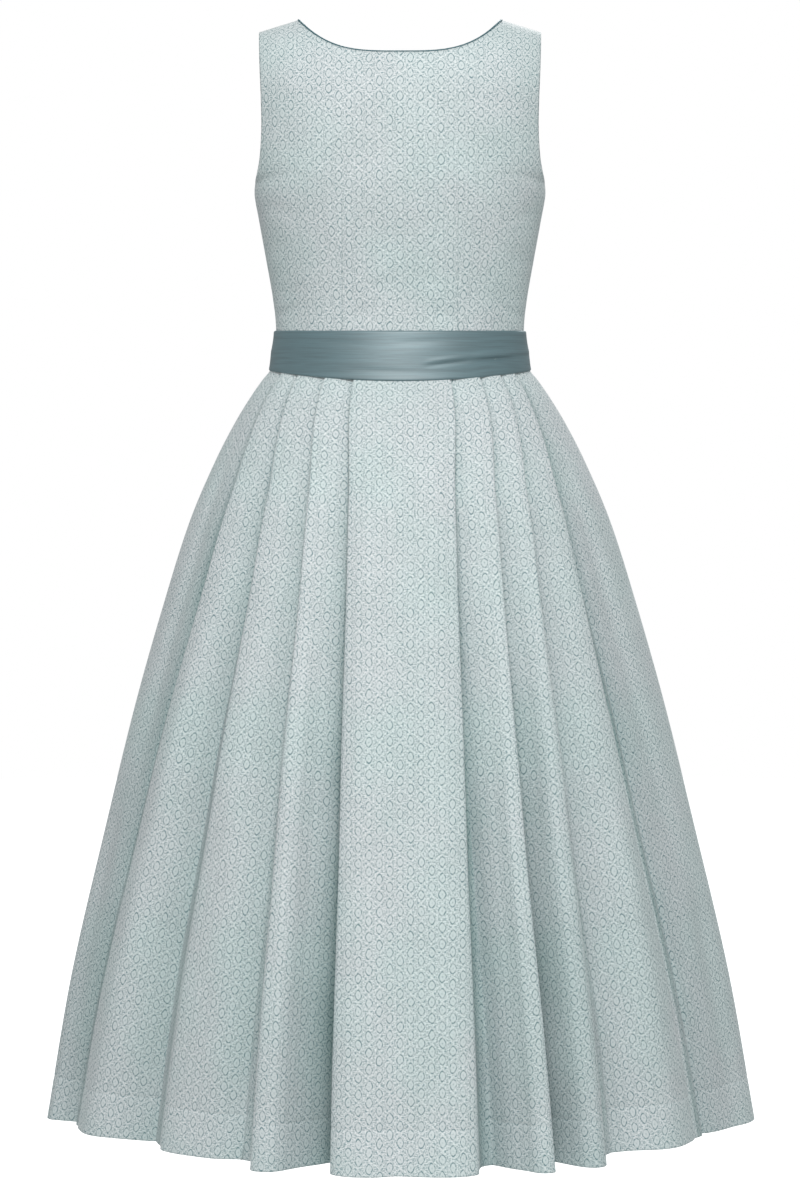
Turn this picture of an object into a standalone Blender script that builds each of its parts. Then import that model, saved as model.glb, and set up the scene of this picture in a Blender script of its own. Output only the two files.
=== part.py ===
"""A dirndl dress as it stands when worn: fitted bodice, satin sash and knife-pleated midi skirt.

All driving sizes are millimetres. The origin lies midway between the two shoulder seams, at the
height of the shoulder line, where the dress hangs on its wearer. The back of the dress faces -Y,
the front faces +Y, and the wearer's left is at -X.
"""

import math
from collections import namedtuple
from functools import partial

import bmesh
import bpy
from mathutils import Vector

MM = 0.001
BACK, FRONT = -1, 1
LEFT, RIGHT = -1, 1

# Cloth
WALL = 1.3
SASH_WALL = 1.6
SEAM_GAP = 0.3
LAYER_GAP = 0.6
PIPING_RADIUS = 1.1
PIPING_GAP = 0.6

# Heights of the main lines
NECK_POINT = 5.0
SHOULDER_TIP = -9.0
UNDERARM = -173.0
SASH_TOP = -334.0
WAIST_SEAM = -358.0
SASH_BOTTOM = -378.0
HEM = -1203.0
WAIST_DIP = 10.0  # how far the sash's lower edge drops at the middle of the back and of the front
DIP_FOOT = -468.0  # where the skirt has lost that dip again

# Neckline
NECK_HALF_WIDTH = 112.0
BACK_NECK = -34.5
FRONT_NECK = -62.0
BACK_NECK_POWER = 3.4
FRONT_NECK_POWER = 2.6
SHOULDER_FALL = 0.31  # drop of the shoulder line for each millimetre outwards
# Height below the shoulder line over which the body rounds over, at the neck and at the arm
SHOULDER_ROUNDING = (135.0, 62.0)
NECK_STEPS = 28

# Torso sections, from the waist seam up. half_width is where the panel ends: at the side seam,
# or above the underarm at the armhole, which lies at arm_angle from the middle of the panel.
TorsoLevel = namedtuple("TorsoLevel", "height half_width arm_angle back_depth front_depth")
TORSO = (
    TorsoLevel(-358, 139.2, 90, 95, 99),
    TorsoLevel(-334, 136.3, 90, 92, 96),
    TorsoLevel(-300, 139.6, 90, 93, 104),
    TorsoLevel(-256, 147.2, 90, 98, 119),
    TorsoLevel(-213, 154.8, 90, 104, 128),
    TorsoLevel(-186, 159.4, 90, 107, 127),
    TorsoLevel(-173, 158.8, 90, 108, 124),
    TorsoLevel(-169, 157.6, 79, 108, 123),
    TorsoLevel(-162, 155.4, 72, 108, 121),
    TorsoLevel(-147, 152.4, 67, 107, 117),
    TorsoLevel(-118, 150.4, 63, 105, 108),
    TorsoLevel(-84, 150.8, 61, 101, 95),
    TorsoLevel(-52, 152.2, 61, 96, 84),
    TorsoLevel(-29, 153.2, 62, 92, 79),
    TorsoLevel(-15, 153.8, 63, 90, 77),
    TorsoLevel(-9, 154.2, 64, 89, 76),
)
FLATNESS = (2.0, 2.3)  # 2 is an ellipse, as at the waist; more is flatter, as across the chest
TORSO_COLUMNS = 26
COLUMN_SPACING = 1.25  # more than 1 draws the columns together towards the middle of a panel

# Skirt sections from the waist seam to the hem, as the rings that the fold edges lie on
SkirtLevel = namedtuple("SkirtLevel", "height half_width back_depth front_depth")
SKIRT = (
    SkirtLevel(-358, 139.3, 95, 99),
    SkirtLevel(-377, 142.7, 99, 103),
    SkirtLevel(-386, 150.0, 106, 109),
    SkirtLevel(-402, 161.5, 119, 121),
    SkirtLevel(-432, 180.2, 138, 139),
    SkirtLevel(-476, 203.0, 162, 160),
    SkirtLevel(-542, 231.2, 191, 185),
    SkirtLevel(-631, 259.5, 222, 213),
    SkirtLevel(-740, 290.5, 254, 242),
    SkirtLevel(-870, 322.5, 286, 270),
    SkirtLevel(-1040, 362.5, 324, 304),
    SkirtLevel(-1203, 391.5, 356, 334),
)

# Knife pleats, each counted from the middle of its face to the side seam. The angles place the
# fold edge at the waist, hip, middle and hem. At the hem, inset is how far the edge lies inside
# the ring, depth how far the valley lies behind the edge, and opening how far it lies beyond it.
Pleat = namedtuple("Pleat", "waist hip middle hem inset depth opening")
PLEAT_HEIGHTS = (-380, -515, -820, -1203)
PLEATS = {
    (BACK, LEFT): (
        Pleat(20.5, 14.4, 11.8, 11.0, 15, 58, -2),
        Pleat(34.6, 26.6, 24.2, 23.8, 10, 46, 20),
        Pleat(51.0, 42.2, 43.4, 47.0, 46, 25, 36),
        Pleat(65.0, 58.4, 65.0, 74.0, 26, 6, 22),
    ),
    (BACK, RIGHT): (
        Pleat(22.2, 15.5, 12.9, 12.2, 10, 44, 15),
        Pleat(37.0, 27.7, 24.0, 24.1, 0, 62, 2),
        Pleat(49.5, 38.6, 34.1, 33.5, 5, 48, 36),
        Pleat(61.0, 53.1, 54.4, 60.5, 30, 8, 32),
    ),
    (FRONT, LEFT): (
        Pleat(19.5, 14.8, 12.6, 12.4, 8, 50, 4),
        Pleat(35.5, 27.4, 25.6, 26.2, 4, 52, 12),
        Pleat(50.0, 40.2, 39.0, 41.0, 24, 36, 28),
        Pleat(63.5, 56.4, 60.4, 67.0, 24, 10, 26),
    ),
    (FRONT, RIGHT): (
        Pleat(21.0, 15.2, 12.0, 11.4, 12, 46, 8),
        Pleat(34.0, 26.4, 24.8, 25.0, 6, 56, 0),
        Pleat(51.5, 41.4, 38.2, 38.6, 14, 42, 32),
        Pleat(65.0, 57.2, 58.8, 64.0, 26, 9, 28),
    ),
}
WAIST_LAP = 12.0  # how far a valley is tucked back under its edge at the waist
LAP_SHARE = 0.42  # or, on a narrow panel, this share of the panel's width
CREST_CLEARANCE = 3.0  # from a tucked valley to where the panel over it leaves its full height
CREST_SHARE = 0.2  # or this share of that panel's width
TWO_LAYERS = 2 * WALL + LAYER_GAP
WAIST_DEPTH = TWO_LAYERS + LAYER_GAP
# The soft hollow down the middle of each centre panel: its depth at the hem, and how far out its
# slope ends, as a share of the way to the first fold, with the share of the depth left there
TROUGH_DEPTH = 12.0
TROUGH_SLOPE = (0.375, 0.35)
CREST_SWELL = 3.0
OPEN_PLEAT = 18.0  # a valley this far beyond its edge leaves no lap, only a soft slope
EDGE_ROLL = 0.3  # how far a fold edge rolls back under itself
# An open fold's edge is turned more softly: its place on the way to the valley, along and down
OPEN_EDGE = (0.4, 0.42)
# Behind its valley a fold climbs to the next crest: how far each point has come on the way from
# this edge's inset to the next one's, and the share of the fold's depth at which it lies
Climb = namedtuple("Climb", "inset depth")
FOOT, SLOPE, CREST = Climb(0.1, 0.97), Climb(0.55, 0.4), Climb(0.9, 0.0)
FOOT_REACH = 3.0  # how far beyond its valley a fold starts to climb
LEAST_FOOT = 2.0
MITRE_LIMIT = 0.36
# The side seam lies in a shallow valley beside a soft crest
SIDE_CREST_ANGLE = 85.0
SIDE_CREST = 2.0
SIDE_VALLEY = 11.0
HEM_EDGE_TURN = 9.0  # height of the rounded fold edge at the hem
HEM_VALLEY_TURN = 5.0
VALLEY_WIDTH = (0.2, 13.0)  # at the waist and at the hem

# Sash
SASH_COLUMNS = 64
SASH_LAP = 60.0
SASH_CLEARANCE = 0.8
LAP_CLEARANCE = 1.3
# The end of the sash rises off the waist and lies over its start between these places, in half
# laps before the middle of the front
LAP_RISE = (3.0, 1.4)
# fraction of the sash's height from its top, and how far its face stands off its plain form
SASH_ROWS = ((0.0, 0.0), (0.3, 0.5), (0.62, 0.1), (0.85, 0.6), (1.0, 0.2))

CLOTH_COLOUR = "#C9D6D8"
SASH_COLOUR = "#6B868B"
PIPING_COLOUR = "#31545C"


def smooth_value(place, stations, values):
    """The value at a place on the smooth curve through (station, value), kept level past its ends."""
    pairs = sorted(zip(stations, values))
    if place <= pairs[0][0]:
        return pairs[0][1]
    if place >= pairs[-1][0]:
        return pairs[-1][1]
    last = len(pairs) - 1
    start = max(i for i in range(last) if pairs[i][0] <= place)

    def slope(i):
        low, high = max(i - 1, 0), min(i + 1, last)
        return (pairs[high][1] - pairs[low][1]) / (pairs[high][0] - pairs[low][0])

    (x0, y0), (x1, y1) = pairs[start], pairs[start + 1]
    span = x1 - x0
    t = (place - x0) / span
    return (
        y0 * (1 + 2 * t) * (1 - t) ** 2
        + slope(start) * span * t * (1 - t) ** 2
        + y1 * t * t * (3 - 2 * t)
        + slope(start + 1) * span * t * t * (t - 1)
    )


def level_value(table, field, height):
    return smooth_value(height, [row.height for row in table], [getattr(row, field) for row in table])


def mix(first, second, share):
    return first + (second - first) * share


def linear_colour(code):
    """A hex colour as linear red, green, blue and alpha."""
    channels = [int(code[i : i + 2], 16) / 255 for i in (1, 3, 5)]
    return [c / 12.92 if c <= 0.04045 else ((c + 0.055) / 1.055) ** 2.4 for c in channels] + [1.0]


def material(name, code, roughness):
    made = bpy.data.materials.new(name)
    made.use_nodes = True
    shader = made.node_tree.nodes["Principled BSDF"]
    shader.inputs["Base Color"].default_value = linear_colour(code)
    shader.inputs["Roughness"].default_value = roughness
    shader.inputs["Metallic"].default_value = 0.0
    made.diffuse_color = linear_colour(code)
    return made


def add_object(name, mesh, finish):
    for polygon in mesh.polygons:
        polygon.use_smooth = True
    mesh.materials.append(finish)
    made = bpy.data.objects.new(name, mesh)
    dress.objects.link(made)
    return made


def clamp(value):
    return min(max(value, 0.0), 1.0)


def waist_dip(sideways, height):
    """How far the skirt drops where it is this share of the half width from the middle."""
    ends_at = WAIST_SEAM if height > SASH_BOTTOM else DIP_FOOT
    kept = clamp((ends_at - height) / (ends_at - SASH_BOTTOM))
    return WAIST_DIP * kept * (1 - clamp(abs(sideways)) ** 2)


def closed_wall(name, outer, inner):
    """A closed shell between two grids of points with the same rows and columns."""
    rows, columns = len(outer), len(outer[0])
    shell = [[value * MM for value in point] for row in outer + inner for point in row]

    def index(layer, row, column):
        return (layer * rows + row) * columns + column

    faces = []
    for r in range(rows - 1):
        for c in range(columns - 1):
            corners = ((r, c), (r, c + 1), (r + 1, c + 1), (r + 1, c))
            faces.append([index(0, *corner) for corner in corners])
            faces.append([index(1, *corners[k]) for k in (0, 3, 2, 1)])
    for r in (0, rows - 1):
        for c in range(columns - 1):
            faces.append([index(0, r, c), index(1, r, c), index(1, r, c + 1), index(0, r, c + 1)])
    for c in (0, columns - 1):
        for r in range(rows - 1):
            faces.append([index(0, r, c), index(0, r + 1, c), index(1, r + 1, c), index(1, r, c)])
    mesh = bpy.data.meshes.new(name)
    mesh.from_pydata(shell, [], faces)
    body = bmesh.new()
    body.from_mesh(mesh)
    bmesh.ops.recalc_face_normals(body, faces=body.faces)
    body.to_mesh(mesh)
    body.free()
    return mesh


# ---------------------------------------------------------------- bodice


def shoulder_height(x):
    """Height of the shoulder line, carried on inwards over the neck opening."""
    return NECK_POINT + (NECK_HALF_WIDTH - abs(x)) * SHOULDER_FALL


def top_height(face, x):
    """Height of a panel's top edge: the neckline, then the shoulder seam."""
    if abs(x) >= NECK_HALF_WIDTH:
        return shoulder_height(x)
    low, power = (BACK_NECK, BACK_NECK_POWER) if face == BACK else (FRONT_NECK, FRONT_NECK_POWER)
    return mix(low, NECK_POINT, (abs(x) / NECK_HALF_WIDTH) ** power)


def torso_power(height):
    """The power that turns an angle's sine and cosine into a place on the torso's section."""
    return 2 / mix(*FLATNESS, clamp((height - SASH_TOP) / (UNDERARM - SASH_TOP)))


def shoulder_share(x, height):
    """How much of its full depth the torso keeps this far below the shoulder line."""
    rounding = mix(*SHOULDER_ROUNDING, clamp(abs(x) / TORSO[-1].half_width))
    fall = clamp((shoulder_height(x) - height) / rounding)
    return math.sqrt(1 - (1 - fall) ** 2)


def bodice_point(face, sideways, rise):
    """A point of the bodice: sideways runs from -1 to 1 across a panel, rise from 0 to 1 up it."""
    side_height = mix(WAIST_SEAM + SEAM_GAP, SHOULDER_TIP, rise)
    arm_angle = math.radians(level_value(TORSO, "arm_angle", side_height))
    power = torso_power(side_height)
    reach = level_value(TORSO, "half_width", side_height) / math.sin(arm_angle) ** power
    angle = sideways * arm_angle
    x = math.copysign(abs(math.sin(angle)) ** power, sideways) * reach
    height = mix(WAIST_SEAM + SEAM_GAP, top_height(face, x), rise)
    depth = level_value(TORSO, "back_depth" if face == BACK else "front_depth", height)
    y = face * (depth * max(math.cos(angle), 0.0) ** power * shoulder_share(x, height) + SEAM_GAP / 2)
    return x, y, height


def column_places(first, last, count):
    """Places across a panel, each from -1 at one side seam to 1 at the other."""
    even = [mix(first, last, i / count) for i in range(count + 1)]
    return [math.copysign(abs(place) ** COLUMN_SPACING, place) for place in even]


def cloth_thickness(rows, face):
    """Points one wall's thickness inside rows of outer points, kept on their own side of the seams."""
    points = [[Vector(point) for point in row] for row in rows]
    last_row, last = len(points) - 1, len(points[0]) - 1
    inner = []
    for r, row in enumerate(points):
        moved = []
        for c, point in enumerate(row):
            across = row[min(c + 1, last)] - row[max(c - 1, 0)]
            upwards = points[min(r + 1, last_row)][c] - points[max(r - 1, 0)][c]
            normal = across.cross(upwards).normalized()
            x, y, z = point - normal * WALL * (-face)
            moved.append((x, face * max(face * y, SEAM_GAP / 2), z))
        inner.append(moved)
    return inner


def bodice_panel(name, face, first, last, columns):
    places = column_places(first, last, columns)
    bottom, top = TORSO[0].height, TORSO[-1].height
    rises = [(level.height - bottom) / (top - bottom) for level in TORSO]
    outer = [[bodice_point(face, place, rise) for place in places] for rise in rises]
    inner = cloth_thickness(outer, face)
    if 0.0 in (first, last):
        middle, side = (0, RIGHT) if first == 0.0 else (-1, LEFT)
        for row in outer + inner:
            row[middle] = (side * SEAM_GAP / 2, *row[middle][1:])
    add_object(name, closed_wall(name, outer, inner), cloth)


def neckline_point(face, x):
    """The point of the neckline above this x, in the middle of the wall's thickness."""
    top = TORSO[-1]
    arm_angle, power = math.radians(top.arm_angle), torso_power(top.height)
    angle = math.asin((abs(x) / top.half_width) ** (1 / power) * math.sin(arm_angle))
    _, y, height = bodice_point(face, math.copysign(angle / arm_angle, x), 1.0)
    return Vector((x, face * max(face * y - WALL / 2, PIPING_RADIUS + SEAM_GAP / 2), height))


def piping(name, face, first, last, steps):
    """A round cord of satin along the neckline, standing on its edge."""
    curve = bpy.data.curves.new(name, "CURVE")
    curve.dimensions = "3D"
    curve.bevel_depth = PIPING_RADIUS * MM
    curve.bevel_resolution = 1
    curve.use_fill_caps = True
    spline = curve.splines.new("POLY")
    spline.points.add(steps)
    for i, point in enumerate(spline.points):
        x = mix(first, last, i / steps)
        along = neckline_point(face, x + SEAM_GAP) - neckline_point(face, x - SEAM_GAP)
        upwards = Vector((-along.z, 0, along.x)).normalized()
        place = neckline_point(face, x) + upwards * (PIPING_RADIUS + PIPING_GAP)
        point.co = (*place * MM, 1)
    made = bpy.data.objects.new(name, curve)
    curve.materials.append(piping_satin)
    dress.objects.link(made)


# ---------------------------------------------------------------- skirt


def ring_place(face, side, level, angle, along, outward):
    """The point at an angle on a section's ring, moved along the ring and outwards, in mm."""
    depth = level.back_depth if face == BACK else level.front_depth
    for _ in range(2):
        speed = math.hypot(level.half_width * math.cos(angle), depth * math.sin(angle))
        angle, along = angle + along / speed, 0.0
    x, y = level.half_width * math.sin(angle), depth * math.cos(angle)
    normal = (depth * math.sin(angle), level.half_width * math.cos(angle))
    size = math.hypot(*normal)
    return side * (x + outward * normal[0] / size), face * (y + outward * normal[1] / size)


def ring_distance(face, level, first, second):
    """The way along a section's ring between two angles, in mm."""
    depth = level.back_depth if face == BACK else level.front_depth
    middle = (first + second) / 2
    return (second - first) * math.hypot(level.half_width * math.cos(middle), depth * math.sin(middle))


def crest_run(span, valley):
    """How far before a fold edge its panel reaches full height, clear of the valley tucked under it."""
    return max(CREST_SHARE * span, CREST_CLEARANCE - valley)


def skirt_quarter(face, side, level):
    """A section's outer line from the middle of a face to the side seam, fold by fold."""
    grown = (WAIST_SEAM - level.height) / (WAIST_SEAM - HEM)
    pleats = PLEATS[face, side]
    valley_width = mix(*VALLEY_WIDTH, grown)
    angles = [math.radians(smooth_value(level.height, PLEAT_HEIGHTS, pleat[:4])) for pleat in pleats]
    insets = [pleat.inset * grown for pleat in pleats]
    swell, trough = CREST_SWELL * grown, TROUGH_DEPTH * grown

    def at(angle, along, outward):
        return ring_place(face, side, level, angle, along, outward)

    stops = [0.0, *angles, math.radians(SIDE_CREST_ANGLE)]
    spans = [ring_distance(face, level, a, b) for a, b in zip(stops, stops[1:])]
    laps = [min(WAIST_LAP, LAP_SHARE * span) for span in spans]
    valleys = [mix(-lap, pleat.opening, grown) for lap, pleat in zip(laps, pleats)]
    slope_end, depth_left = TROUGH_SLOPE
    line = [
        at(0.0, 0.0, swell - trough),
        at(angles[0] * slope_end, 0.0, swell - trough * depth_left),
        at(angles[0], -crest_run(spans[0], valleys[0]), swell - insets[0] / 2),
    ]
    for i, (pleat, angle, inset, valley) in enumerate(zip(pleats, angles, insets, valleys)):
        is_last = i == len(pleats) - 1
        next_inset = -SIDE_CREST * grown if is_last else insets[i + 1]
        run = crest_run(spans[i + 1], 0.0 if is_last else valleys[i + 1])
        opened = clamp(valley / OPEN_PLEAT)
        depth = max(mix(WAIST_DEPTH, pleat.depth, grown), WAIST_DEPTH * (1 - opened))
        edge_turn = max(TWO_LAYERS, min(mix(TWO_LAYERS, HEM_EDGE_TURN, grown), depth / 2))
        valley_turn = max(LAYER_GAP, min(mix(LAYER_GAP, HEM_VALLEY_TURN, grown), depth - TWO_LAYERS))
        edge_drop = mix(edge_turn, OPEN_EDGE[1] * depth, opened)
        foot = max(LEAST_FOOT, valley + valley_width + FOOT_REACH)
        foot_level, slope_level, crest_level = (
            -mix(inset, next_inset, climb.inset) - depth * climb.depth for climb in (FOOT, SLOPE, CREST)
        )
        line += [
            at(angle, 0.0, -inset),
            at(angle, OPEN_EDGE[0] * valley * opened - EDGE_ROLL, -inset - edge_drop),
            at(angle, valley, -inset - depth + valley_turn),
            at(angle, valley + valley_width, -inset - depth),
            at(angle, foot, foot_level),
            at(angle, (foot + spans[i + 1] - run) / 2, slope_level),
            at(stops[i + 2], -run, crest_level),
        ]
    line.append(at(math.radians(SIDE_CREST_ANGLE), 0.0, SIDE_CREST * grown))
    line.append(at(math.pi / 2, 0.0, -SIDE_VALLEY * grown))
    return line


def moved_inwards(line, distance, inward_side):
    """The line moved sideways by a wall's thickness, with its corners mitred up to a limit."""
    moved = []
    for i, (x, y) in enumerate(line):
        normals = []
        for a, b in ((i - 1, i), (i, i + 1)):
            if a < 0 or b >= len(line):
                continue
            dx, dy = line[b][0] - line[a][0], line[b][1] - line[a][1]
            size = math.hypot(dx, dy)
            normals.append((-dy / size * inward_side, dx / size * inward_side))
        nx = sum(n[0] for n in normals) / len(normals)
        ny = sum(n[1] for n in normals) / len(normals)
        reach = max(nx * nx + ny * ny, MITRE_LIMIT)
        moved.append((x + nx / reach * distance, y + ny / reach * distance))
    return moved


def skirt_panel(name, line_at, face, side=None):
    """A pleated wall through the sections, from the waist seam to the hem."""
    outer, inner = [], []
    for level in SKIRT:
        line = line_at(level)
        # The wall lies on the side of the line that faces the middle of the dress.
        swept = sum(a[0] * b[1] - a[1] * b[0] for a, b in zip(line, line[1:]))
        inside = moved_inwards(line, WALL, 1 if swept > 0 else -1)
        line, inside = ([in_seam_allowance(*p, face, side) for p in points] for points in (line, inside))
        drops = [waist_dip(x / level.half_width, level.height) for x, _ in line]
        shift = SEAM_GAP / 2 if level is SKIRT[0] else 0.0
        outer.append([(x, y, level.height - shift - drop) for (x, y), drop in zip(line, drops)])
        inner.append([(x, y, level.height - shift - drop) for (x, y), drop in zip(inside, drops)])
    add_object(name, closed_wall(name, outer, inner), cloth)


def whole_back(level):
    left, right = skirt_quarter(BACK, LEFT, level), skirt_quarter(BACK, RIGHT, level)
    return left[:0:-1] + right


def in_seam_allowance(x, y, face, side=None):
    """The point kept half a seam gap inside its own panel."""
    if side is not None:
        x = side * max(side * x, SEAM_GAP / 2)
    return x, face * max(face * y, SEAM_GAP / 2)


# ---------------------------------------------------------------- sash


def sash_point(turn, share, clear):
    """A point this far off the waist: turn is its angle from the middle of the back, share runs
    down the sash."""
    dip = 1 - math.sin(turn) ** 2
    height = mix(SASH_TOP, SASH_BOTTOM - WAIST_DIP * dip, share)
    face = BACK if math.cos(turn) > 0 else FRONT
    table, ring_height = TORSO, height
    if height < WAIST_SEAM:
        table, ring_height = SKIRT, min(height + waist_dip(math.sin(turn), height), WAIST_SEAM)
    width = level_value(table, "half_width", ring_height)
    depth = level_value(table, "back_depth" if face == BACK else "front_depth", ring_height)
    x = math.sin(turn) * (width + clear)
    y = -math.cos(turn) * (depth + clear)
    return x, y, height


def sash():
    """A band once round the waist, whose end laps over its start at the middle of the front."""
    lap = SASH_LAP / 2 / TORSO[0].half_width
    turns = [mix(-math.pi - lap, math.pi + lap, i / SASH_COLUMNS) for i in range(SASH_COLUMNS + 1)]
    rise_start, rise_end = LAP_RISE
    outer, inner = [], []
    for share, stand_off in SASH_ROWS:
        risen = [clamp(((turn - math.pi) / lap + rise_start) / (rise_start - rise_end)) for turn in turns]
        clear = [SASH_CLEARANCE + stand_off + over * (SASH_WALL + LAP_CLEARANCE) for over in risen]
        outer.append([sash_point(turn, share, c + SASH_WALL) for turn, c in zip(turns, clear)])
        inner.append([sash_point(turn, share, c) for turn, c in zip(turns, clear)])
    add_object("sash", closed_wall("sash", outer, inner), sash_satin)


for old in list(bpy.data.objects):
    bpy.data.objects.remove(old)

dress = bpy.data.collections.new("dirndl")
bpy.context.scene.collection.children.link(dress)
cloth = material("Cotton jacquard", CLOTH_COLOUR, 0.72)
sash_satin = material("Slub satin", SASH_COLOUR, 0.42)
piping_satin = material("Satin piping", PIPING_COLOUR, 0.5)

bodice_panel("bodice_back", BACK, -1.0, 1.0, TORSO_COLUMNS)
bodice_panel("bodice_front_left", FRONT, -1.0, 0.0, TORSO_COLUMNS // 2)
bodice_panel("bodice_front_right", FRONT, 0.0, 1.0, TORSO_COLUMNS // 2)
piping_end = NECK_HALF_WIDTH - PIPING_RADIUS
piping("neck_piping_back", BACK, -piping_end, piping_end, NECK_STEPS)
piping("neck_piping_front_left", FRONT, -piping_end, -SEAM_GAP / 2, NECK_STEPS // 2)
piping("neck_piping_front_right", FRONT, SEAM_GAP / 2, piping_end, NECK_STEPS // 2)
sash()
skirt_panel("skirt_back", whole_back, BACK)
for side_name, side_sign in (("left", LEFT), ("right", RIGHT)):
    skirt_panel(f"skirt_front_{side_name}", partial(skirt_quarter, FRONT, side_sign), FRONT, side_sign)
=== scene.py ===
"""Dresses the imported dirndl: pleated jacquard skirt, darted bodice, slub satin sash and piping.

Driving sizes are millimetres, as in the part's own source, and MM turns them to metres. The back of
the dress faces -Y and the camera, the front faces +Y, and the wearer's left is at -X.
"""

from collections import namedtuple
from functools import lru_cache, partial
from math import asin, atan2, ceil, copysign, cos, dist, exp, floor, hypot, pi, radians, sin, sqrt

import bmesh
import bpy
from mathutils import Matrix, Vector, noise


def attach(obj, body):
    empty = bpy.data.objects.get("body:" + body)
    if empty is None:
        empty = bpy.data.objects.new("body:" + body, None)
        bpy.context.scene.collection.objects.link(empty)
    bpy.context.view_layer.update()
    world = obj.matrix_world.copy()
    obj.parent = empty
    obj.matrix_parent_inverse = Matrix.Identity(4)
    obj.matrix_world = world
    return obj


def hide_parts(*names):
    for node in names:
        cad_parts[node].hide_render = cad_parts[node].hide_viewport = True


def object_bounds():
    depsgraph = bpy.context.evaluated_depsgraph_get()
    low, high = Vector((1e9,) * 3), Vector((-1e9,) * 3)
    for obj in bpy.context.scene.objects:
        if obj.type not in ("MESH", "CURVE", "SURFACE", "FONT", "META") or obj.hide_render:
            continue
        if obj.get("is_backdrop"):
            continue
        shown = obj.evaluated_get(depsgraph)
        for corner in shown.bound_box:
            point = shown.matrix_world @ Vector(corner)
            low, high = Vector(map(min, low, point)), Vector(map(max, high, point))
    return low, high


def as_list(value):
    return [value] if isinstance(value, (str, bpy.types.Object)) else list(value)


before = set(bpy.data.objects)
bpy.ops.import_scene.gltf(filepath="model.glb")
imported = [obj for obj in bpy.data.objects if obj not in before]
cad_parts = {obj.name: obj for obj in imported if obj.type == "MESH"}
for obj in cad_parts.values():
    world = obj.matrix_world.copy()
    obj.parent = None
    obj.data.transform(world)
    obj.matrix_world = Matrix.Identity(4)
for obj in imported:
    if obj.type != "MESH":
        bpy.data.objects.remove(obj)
cad_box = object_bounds()

MM = 0.001
BACK, FRONT = -1, 1
LEFT, RIGHT = -1, 1
DEPTHS = {BACK: "back_depth", FRONT: "front_depth"}  # each face's depth in the tables of levels


def named_rows(kind, *rows):
    """A table whose values have names."""
    return tuple(kind(*row) for row in rows)


# ---- sizes shared with the solids

SASH_WALL = 1.6
SEAM_GAP = 0.3
PIPING_RADIUS = 1.1

NECK_POINT = 5.0
SHOULDER_TIP = -9.0
UNDERARM = -173.0
SASH_TOP = -334.0
WAIST_SEAM = -358.0
SASH_BOTTOM = -378.0
HEM = -1203.0
WAIST_DIP = 10.0
DIP_FOOT = -468.0

NECK_HALF_WIDTH = 112.0
NECKLINES = {BACK: (-34.5, 3.4), FRONT: (-62.0, 2.6)}  # lowest height and the power of its curve
SHOULDER_FALL = 0.31
SHOULDER_ROUNDING = (135.0, 62.0)

TorsoLevel = namedtuple("TorsoLevel", "height half_width arm_angle back_depth front_depth")
TORSO = named_rows(
    TorsoLevel,
    (-358, 139.2, 90, 95, 99), (-334, 136.3, 90, 92, 96),
    (-300, 139.6, 90, 93, 104), (-256, 147.2, 90, 98, 119),
    (-213, 154.8, 90, 104, 128), (-186, 159.4, 90, 107, 127),
    (-173, 158.8, 90, 108, 124), (-169, 157.6, 79, 108, 123),
    (-162, 155.4, 72, 108, 121), (-147, 152.4, 67, 107, 117),
    (-118, 150.4, 63, 105, 108), (-84, 150.8, 61, 101, 95),
    (-52, 152.2, 61, 96, 84), (-29, 153.2, 62, 92, 79),
    (-15, 153.8, 63, 90, 77), (-9, 154.2, 64, 89, 76),
)
FLATNESS = (2.0, 2.3)

SkirtLevel = namedtuple("SkirtLevel", "height half_width back_depth front_depth")
SKIRT = named_rows(
    SkirtLevel,
    (-358, 139.3, 95, 99), (-377, 142.7, 99, 103), (-386, 150, 106, 109),
    (-402, 161.5, 119, 121), (-432, 180.2, 138, 139), (-476, 203, 162, 160),
    (-542, 231.2, 191, 185), (-631, 259.5, 222, 213), (-740, 290.5, 254, 242),
    (-870, 322.5, 286, 270), (-1040, 362.5, 324, 304), (-1203, 391.5, 356, 334),
)

# A pleat's angle round the skirt at four heights, then its edge's inset, its depth and how far it
# stands open at the hem
Pleat = namedtuple("Pleat", "waist hip middle hem inset depth opening")
PLEAT_HEIGHTS = (-380, -515, -820, -1203)
PLEATS = {
    (BACK, LEFT): named_rows(
        Pleat,
        (20.5, 14.4, 11.8, 11, 15, 58, -2),
        (34.6, 26.6, 24.2, 23.8, 10, 46, 20),
        (51, 42.2, 43.4, 47, 46, 25, 36),
        (65, 58.4, 65, 74, 26, 6, 22),
    ),
    (BACK, RIGHT): named_rows(
        Pleat,
        (22.2, 15.5, 12.9, 12.2, 10, 44, 15),
        (37, 27.7, 24, 24.1, 0, 62, 2),
        (49.5, 38.6, 34.1, 33.5, 5, 48, 36),
        (61, 53.1, 54.4, 60.5, 30, 8, 32),
    ),
    (FRONT, LEFT): named_rows(
        Pleat,
        (19.5, 14.8, 12.6, 12.4, 8, 50, 4),
        (35.5, 27.4, 25.6, 26.2, 4, 52, 12),
        (50, 40.2, 39, 41, 24, 36, 28),
        (63.5, 56.4, 60.4, 67, 24, 10, 26),
    ),
    (FRONT, RIGHT): named_rows(
        Pleat,
        (21, 15.2, 12, 11.4, 12, 46, 8),
        (34, 26.4, 24.8, 25, 6, 56, 0),
        (51.5, 41.4, 38.2, 38.6, 14, 42, 32),
        (65, 57.2, 58.8, 64, 26, 9, 28),
    ),
}
WAIST_LAP = 12.0
LAP_SHARE = 0.42
CREST_CLEARANCE = 3.0
CREST_SHARE = 0.2
SKIRT_CLOTH = 0.6
LAYER_GAP = 0.3
TWO_LAYERS = 2 * SKIRT_CLOTH + LAYER_GAP
WAIST_DEPTH = TWO_LAYERS + LAYER_GAP
TROUGH_DEPTH = 12.0
TROUGH_SLOPE = (0.375, 0.35)
CREST_SWELL = 3.0
OPEN_PLEAT = 18.0
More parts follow.
